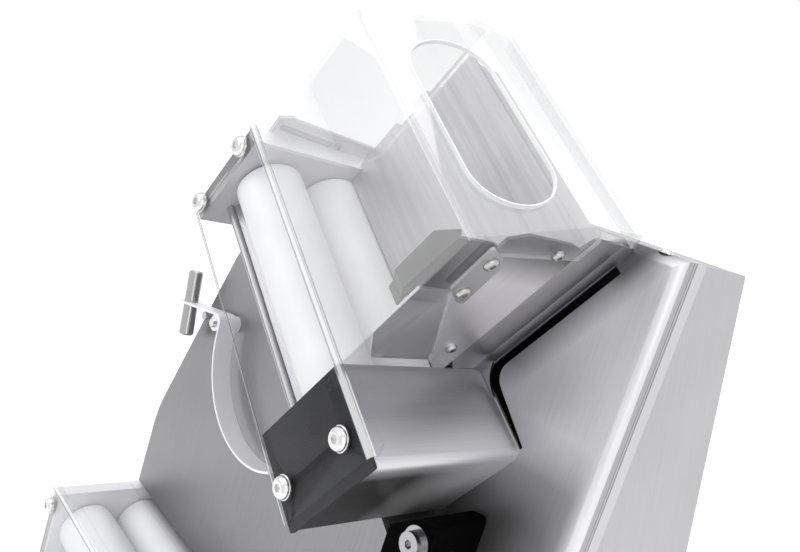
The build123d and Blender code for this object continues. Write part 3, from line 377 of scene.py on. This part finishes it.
# How milky each sheet's bends are and the mouth's rim is, and how glossy each sheet is square on
GUARD_MILK = 0.6
HOPPER_MILK = 0.05
INLET_MILK = 0.3
RIM_MILK = 0.85
GUARD_SHINE = 0.0
HOPPER_SHINE = 0.16

# Where a surface is bent, by its tilt against the panel
BEND_STOPS = (
    (0.0, 0.0), (0.06, 0.0), (0.10, 1.0), (0.28, 1.0), (0.32, 0.0),
    (0.36, 0.0), (0.42, 1.0), (0.95, 1.0), (0.99, 0.0),
)
INLET_STOPS = ((0.0, 0.0), (0.3, 0.0), (0.42, 1.0), (0.95, 1.0), (0.99, 0.0))
# The cut corners at a guard's ends are tilted like its bends, but they also face along the rollers
END_STOPS = ((0.0, 1.0), (0.50, 1.0), (0.56, 0.0))
# Painted shade: over the rollers a guard's bends have a grey line on both sides, and over the casing they are
# pale
LINE_STOPS = ((0.0, 1.0), (0.42, 1.0), (0.55, 0.0), (0.82, 0.0), (0.90, 1.0))
BEND_LINE_SHADE = 0.30
UPPER_LINES = (-ALONG, 0.058, 0.064)
LOWER_LINES = (-X, 0.073, 0.079)

# Mouth of the hopper: its size, its middle, the way up its slope and the way out of it
MOUTH_L = 0.143
MOUTH_W = 0.059
MOUTH_ALONG = -0.1575
MOUTH_DEEP = 0.046
HOPPER_RISE = 0.030
HOPPER_RUN = 0.083
HOPPER_FRONT = 0.128
MOUTH_SLOPE = HOPPER_RISE / HOPPER_RUN
MOUTH_ACROSS = HOPPER_FRONT + MOUTH_SLOPE * MOUTH_DEEP
MOUTH_AT = CORNER + ALONG * MOUTH_ALONG + ACROSS * MOUTH_ACROSS + DEEP * MOUTH_DEEP
MOUTH_UP = (DEEP + ACROSS * MOUTH_SLOPE).normalized()
MOUTH_OUT = (ACROSS - DEEP * MOUTH_SLOPE).normalized()

# Rim of the mouth: how wide it is on both sides of the cut, and the share of that in full strength
RIM_W = 0.0012
RIM_FULL = 0.7

# How far the rim goes in and out of the mouth, and over what length it fades there
RIM_DEPTH = 0.008
RIM_FADE = 0.001


def mouth_rim(shader):
    """1 on the cut edge round the hopper's oval mouth, else 0."""
    side = shader.math("ABSOLUTE", shader.reach(ALONG, MOUTH_AT))
    side = shader.math("MAXIMUM", shader.math("SUBTRACT", side, (MOUTH_L - MOUTH_W) / 2), 0.0)
    rise = shader.reach(MOUTH_UP, MOUTH_AT)
    square = shader.math("ADD", shader.math("MULTIPLY", side, side), shader.math("MULTIPLY", rise, rise))
    off = shader.math("SUBTRACT", shader.math("SQRT", square), MOUTH_W / 2)
    near = shader.mapped(shader.math("ABSOLUTE", off), RIM_W, RIM_W * RIM_FULL)
    depth = shader.math("ABSOLUTE", shader.reach(MOUTH_OUT, MOUTH_AT))
    return shader.math("MULTIPLY", near, shader.mapped(depth, RIM_DEPTH, RIM_DEPTH - RIM_FADE))


def clear_plastic(name, stops, milk, shine, rim=None, ends=None, lines=None):
    """Clear acrylic sheet: looked straight through, glossier at a slant, and milky where it is bent.

    The bends are found by the tilt of the surface against the panel: flat sheets stand square to the
    panel, lie in its plane, or slope like the hopper's top. Past the limit given as lines, a bend has
    a grey line of painted shade on both sides.
    """
    shader = Shader(name)
    smear = shader.noise(shader.coords(), SMEAR_SCALE, detail=5.0)
    slant = shader.node("ShaderNodeLayerWeight", Blend=0.5).outputs["Facing"]
    through = shader.node("ShaderNodeBsdfTransparent")
    shader.link(shader.ramp(slant, CLEAR_TONES, SLANT_RANGE), through.inputs["Color"])
    gloss = shader.node("ShaderNodeBsdfGlossy", Color=WHITE)
    shader.link(shader.mapped(smear, *ROUGH_RANGE, *GLOSS_ROUGH), gloss.inputs["Roughness"])
    milky = shader.node("ShaderNodeBsdfDiffuse")
    shader.link(shader.ramp(smear, HAZE), milky.inputs["Color"])
    if lines:
        grey = shader.math("MULTIPLY", shader.past([lines]), shader.facing(DEEP, LINE_STOPS))
        shader.tinted(grey, BEND_LINE_SHADE, milky.inputs["Color"])

    bent = shader.facing(DEEP, stops)
    if ends:
        bent = shader.math("MULTIPLY", bent, shader.facing(ALONG, ends))
    frosted = shader.math("MULTIPLY", bent, milk)
    if rim:
        cut = rim(shader)
        bent = shader.math("MAXIMUM", bent, cut)
        frosted = shader.math("MAXIMUM", frosted, shader.math("MULTIPLY", cut, RIM_MILK))
    mirrored = shader.math("MULTIPLY_ADD", shader.math("POWER", slant, SLANT_POWER), SLANT_GLOSS, shine)
    cover = shader.math("MINIMUM", shader.math("ADD", frosted, mirrored), 1.0)
    shader.show(shader.mix(cover, through, shader.mix(bent, gloss, milky)))
    return shader.material


# Sawn edges of the clear sheets
EDGE_ROUGH = 0.3
EDGE_ALPHA = 0.7
EDGE_GRAIN = 70.0


def sawn_edge(name, dark, light):
    """Edge of an acrylic sheet: grey, slightly frosted, and partly see-through."""
    shader = Shader(name).set(Roughness=EDGE_ROUGH, Alpha=EDGE_ALPHA)
    fine = shader.noise(shader.coords(), EDGE_GRAIN, detail=3.0)
    shader.link(shader.ramp(fine, (dark, light)), shader.bsdf.inputs["Base Color"])
    return shader.material


upper_acrylic = clear_plastic(
    "clear_guard_upper", BEND_STOPS, GUARD_MILK, GUARD_SHINE, ends=END_STOPS, lines=UPPER_LINES
)
lower_acrylic = clear_plastic(
    "clear_guard_lower", BEND_STOPS, GUARD_MILK, GUARD_SHINE, ends=END_STOPS, lines=LOWER_LINES
)
hopper_acrylic = clear_plastic("clear_hopper", BEND_STOPS, HOPPER_MILK, HOPPER_SHINE, rim=mouth_rim)
inlet_acrylic = clear_plastic("clear_inlet", INLET_STOPS, INLET_MILK, GUARD_SHINE)
guard_edge = sawn_edge("clear_guard_edge", (0.24, 0.245, 0.25), (0.34, 0.345, 0.35))
hopper_edge = sawn_edge("clear_hopper_edge", (0.14, 0.145, 0.15), (0.22, 0.225, 0.23))

# Which material each node of the part has
LOOKS = {
    panel_steel: ("front_shell",),
    neck_steel: ("upper_neck",),
    chute_steel: ("chute_plate",),
    sheet_across: ("base_frame", "exit_tray"),
    strip_steel: ("hopper_tab",),
    pan_steel: ("balance_pan",),
    casing_steel: ("lower_gear_casing",),
    upper_casing: ("upper_gear_casing",),
    wall_steel: ("upper_back_wall",),
    cheek_steel: ("upper_cheek",),
    side_steel: ("rear_cover",),
    upper_plate: ("upper_far_plate", "upper_near_plate"),
    lower_far: ("lower_far_plate",),
    lower_plate: ("lower_near_plate", "motor_bracket", "button_collars"),
    bracket_metal: ("upper_slot_bracket",),
    turned: (
        "lower_front_shaft", "lower_rear_shaft", "lower_drive_shaft", "upper_drive_shaft", "motor_pulley",
        "lower_scrapers", "balance_stop", "lever_pivots",
    ),
    weight_steel: ("balance_weight",),
    turned_upper: ("upper_front_shaft", "upper_rear_shaft", "upper_scrapers"),
    polished: ("guard_bolts", "cover_screws", "balance_pivot"),
    screw_steel: ("hopper_screws",),
    dull_bolt: ("chute_block_bolt",),
    bronze: ("upper_front_bushes", "lower_front_bushes", "rear_bushes", "drive_bearings"),
    dark_cover: ("upper_casing_cover", "lower_casing_cover"),
    motor_paint: ("gear_motor",),
    white_plastic: ("upper_front_roller", "upper_rear_roller", "lower_front_roller", "lower_rear_roller"),
    black_plastic: ("upper_gap_lever", "lower_gap_lever", "cable_gland"),
    block_black: ("chute_block",),
    rubber: ("rubber_feet", "drive_belt"),
    green: ("start_button",),
    red: ("stop_button",),
    upper_acrylic: ("upper_front_guard",),
    lower_acrylic: ("lower_front_guard",),
    hopper_acrylic: ("upper_hopper",),
    inlet_acrylic: ("lower_inlet_guard",),
}
for material, names in LOOKS.items():
    for name in names:
        nodes[name].material_slots[0].material = material

# Soft edges, by width, on pieces whose folds and corners catch the light
SOFT_EDGES = {
    0.0004: ("upper_cheek", "upper_back_wall", "hopper_tab", "balance_pan"),
    0.0006: (
        "upper_casing_cover", "lower_casing_cover", "upper_far_plate", "lower_far_plate", "chute_block_bolt",
        "upper_slot_bracket",
    ),
    0.0008: ("upper_hopper",),
    0.0009: ("chute_block", "base_frame"),
    0.0010: ("upper_front_guard", "lower_front_guard", "lower_inlet_guard"),
}
EDGE_SEGMENTS = 2
EDGE_ANGLE = radians(40)


def soften(piece, width):
    """Rounds the sharp edges of a piece a little."""
    bevel = piece.modifiers.new("soft_edges", "BEVEL")
    bevel.width = width
    bevel.segments = EDGE_SEGMENTS
    bevel.limit_method = "ANGLE"
    bevel.angle_limit = EDGE_ANGLE


for width, names in SOFT_EDGES.items():
    for name in names:
        soften(nodes[name], width)

# On the clear sheets the soft edges are the sawn ones, with a slot of their own
EDGE_SLOT = 1
SAWN_EDGES = {
    "upper_front_guard": guard_edge,
    "lower_front_guard": guard_edge,
    "lower_inlet_guard": guard_edge,
    "upper_hopper": hopper_edge,
}
for name, edge in SAWN_EDGES.items():
    nodes[name].data.materials.append(edge)
    nodes[name].modifiers["soft_edges"].material = EDGE_SLOT

# Hem of the rear cover: the sheet's front edge is folded back on itself round the whole outline
BASE_Z = 0.058
BODY_OUTLINE = ((0.0616, 0.163), (-0.235, 0.163), (-0.335, 0.040), (-0.410, -0.165))
HEM_FRONT = 0.1555
HEM_BACK = 0.1675
HEM_PROUD = 0.0005
HEM_SUNK = 0.0003
HEM_EDGE = 0.0002
HEM_PROFILE = (
    (HEM_FRONT, -HEM_SUNK),
    (HEM_FRONT, HEM_PROUD),
    (HEM_BACK, HEM_PROUD),
    (HEM_BACK, -HEM_SUNK),
)


def hem_ring(depth, proud):
    """Points round the body's outline at a depth, moved outwards, with both ends on the base."""
    foot = (BASE_Z - CORNER.z + depth * sin(LEAN)) / cos(LEAN)
    right_foot = (BODY_OUTLINE[0][0], foot)
    left_foot = (BODY_OUTLINE[-1][0], foot)
    corners = [Vector(spot) for spot in (right_foot, *BODY_OUTLINE, left_foot)]
    ways = [(after - before).normalized() for before, after in zip(corners, corners[1:])]
    outs = [Vector((way.y, -way.x)) for way in ways]
    points = []
    for corner, first, last in zip(corners, (outs[0], *outs), (*outs, outs[-1])):
        mitre = (first + last) / (1.0 + first.dot(last))
        spot = corner + mitre * proud
        points.append(CORNER + X * spot.x + UP * spot.y + DEEP * depth)
    return points


rings = [hem_ring(depth, proud) for depth, proud in HEM_PROFILE]
count = len(rings[0])
starts = [index * count for index in range(len(rings))]
hem_faces = []
for here, there in zip(starts, (*starts[1:], starts[0])):
    for step in range(count - 1):
        hem_faces.append((here + step, here + step + 1, there + step + 1, there + step))
hem_faces.append(starts)
hem_faces.append([start + count - 1 for start in reversed(starts)])
hem_mesh = bpy.data.meshes.new("rear_cover_hem")
hem_mesh.from_pydata([point for ring in rings for point in ring], [], hem_faces)
hem_mesh.materials.append(hem_steel)
hem = bpy.data.objects.new("rear_cover_hem", hem_mesh)
bpy.context.collection.objects.link(hem)
soften(hem, HEM_EDGE)
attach(hem, "machine")

# Floor and world are white to the camera and in reflections, and light the object at a lower level
WORLD_LIGHT = 0.88
FLOOR_GLOW = 0.35
FLOOR_TONE = (0.85, 0.85, 0.85, 1.0)
FLOOR_HALF = 6.0


def seen_strength(tree, low, high):
    """High for camera, glossy and transmission rays, and low for the light that falls on the object."""
    rays = tree.node("ShaderNodeLightPath").outputs
    seen = tree.math("MAXIMUM", rays["Is Camera Ray"], rays["Is Glossy Ray"])
    seen = tree.math("MAXIMUM", seen, rays["Is Transmission Ray"])
    return tree.mapped(seen, 0.0, 1.0, low, high)


floor_mesh = bpy.data.meshes.new("floor")
floor_corners = [(x * FLOOR_HALF, y * FLOOR_HALF, 0) for x, y in ((-1, -1), (1, -1), (1, 1), (-1, 1))]
floor_mesh.from_pydata(floor_corners, [], [(0, 1, 2, 3)])
floor = bpy.data.objects.new("floor", floor_mesh)
bpy.context.collection.objects.link(floor)
pale = Shader("floor_pale")
pale.tree.nodes.remove(pale.bsdf)
matt = pale.node("ShaderNodeBsdfDiffuse", Color=FLOOR_TONE)
glow = pale.node("ShaderNodeEmission", Color=WHITE)
pale.link(seen_strength(pale, 0.0, FLOOR_GLOW), glow.inputs["Strength"])
both = pale.node("ShaderNodeAddShader")
pale.link(matt.outputs[0], both.inputs[0])
pale.link(glow.outputs[0], both.inputs[1])
pale.show(both)
floor_mesh.materials.append(pale.material)

world = bpy.data.worlds.new("studio")
bpy.context.scene.world = world
world.use_nodes = True
sky = Tree(world.node_tree)
background = world.node_tree.nodes["Background"]
background.inputs["Color"].default_value = WHITE
sky.link(seen_strength(sky, WORLD_LIGHT, 1.0), background.inputs["Strength"])

# Soft boxes: place, width and height, and power
LAMPS = {
    "key": ((-1.2, -1.6, 2.4), (2.2, 2.2), 22.0),
    "fill": ((1.8, -0.6, 1.2), (1.4, 1.6), 6.0),
    "top": ((0.1, 0.4, 2.2), (1.8, 1.4), 7.0),
}
LAMP_TARGET = Vector((0.05, 0.0, 0.42))
for name, (place, size, power) in LAMPS.items():
    lamp_data = bpy.data.lights.new(name, "AREA")
    lamp_data.shape = "RECTANGLE"
    lamp_data.size, lamp_data.size_y = size
    lamp_data.energy = power
    lamp = bpy.data.objects.new(name, lamp_data)
    lamp.location = place
    lamp.rotation_euler = (LAMP_TARGET - lamp.location).to_track_quat("-Z", "Y").to_euler()
    bpy.context.collection.objects.link(lamp)

# Camera of the photograph: where it looks, which way is right in the picture, and where it stands
VIEW_WAY = Vector((-0.7102, 0.5757, -0.4052)).normalized()
VIEW_RIGHT = Vector((0.6254, 0.7803, 0.0127))
FROM_CORNER = Vector((0.2816, -0.2095, 0.2750))
SENSOR_W = 36.0
LENS = 34.23
NEAR_LIMIT = 0.01
right = (VIEW_RIGHT - VIEW_WAY * VIEW_RIGHT.dot(VIEW_WAY)).normalized()
axes = Matrix((right, right.cross(VIEW_WAY), -VIEW_WAY)).transposed().to_4x4()
camera_data = bpy.data.cameras.new("photo_camera")
camera_data.sensor_fit = "HORIZONTAL"
camera_data.sensor_width = SENSOR_W
camera_data.lens = LENS
camera_data.clip_start = NEAR_LIMIT
camera = bpy.data.objects.new("photo_camera", camera_data)
camera.matrix_world = Matrix.Translation(CORNER + FROM_CORNER) @ axes
bpy.context.collection.objects.link(camera)
bpy.context.scene.camera = camera
bpy.context.scene.view_settings.view_transform = "Standard"
